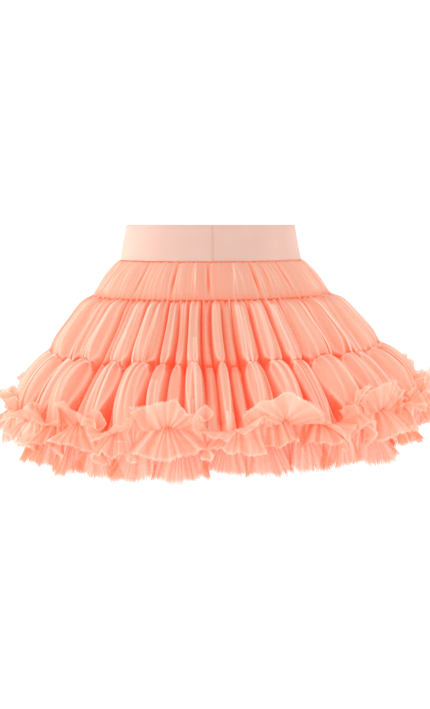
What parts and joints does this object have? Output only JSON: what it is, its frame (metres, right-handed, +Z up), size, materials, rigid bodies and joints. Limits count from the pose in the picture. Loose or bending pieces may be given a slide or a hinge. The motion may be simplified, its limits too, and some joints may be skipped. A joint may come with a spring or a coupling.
{
  "type": "tulle skirt",
  "caption": "Child's tulle party skirt, filled out: elastic waistband, sheer yoke over a lining, gathered tiers of soft puffs and a ruffled hem over an inner ruffled layer.",
  "frame": {"origin": "middle of the waistband: centre of its loop at half its height, where the wearer's waist holds the skirt", "axes": "+Z up along the body, -Y towards the front with the waistband's seam, +X towards the right of the picture"},
  "size_m": [0.5078, 0.4723, 0.2512],
  "materials": {
    "waistband_jersey": "pale peach elastic waistband covered in smooth jersey, matt with a faint sheen",
    "lining_jersey": "soft peach jersey lining, matt, lightly wrinkled",
    "outer_tulle": "sheer peach tulle net, soft, with pale edges where it folds",
    "inner_tulle": "sheer coral tulle net, deeper where layers lie on each other"
  },
  "bodies": {
    "root": {"waistband": "waistband_jersey", "lining_slip": "lining_jersey", "yoke_tier": "outer_tulle", "middle_tier": "outer_tulle", "lower_tier": "outer_tulle", "hem_ruffle": "outer_tulle", "inner_tier": "inner_tulle", "inner_ruffle": "inner_tulle"}
  },
  "joints": []
}
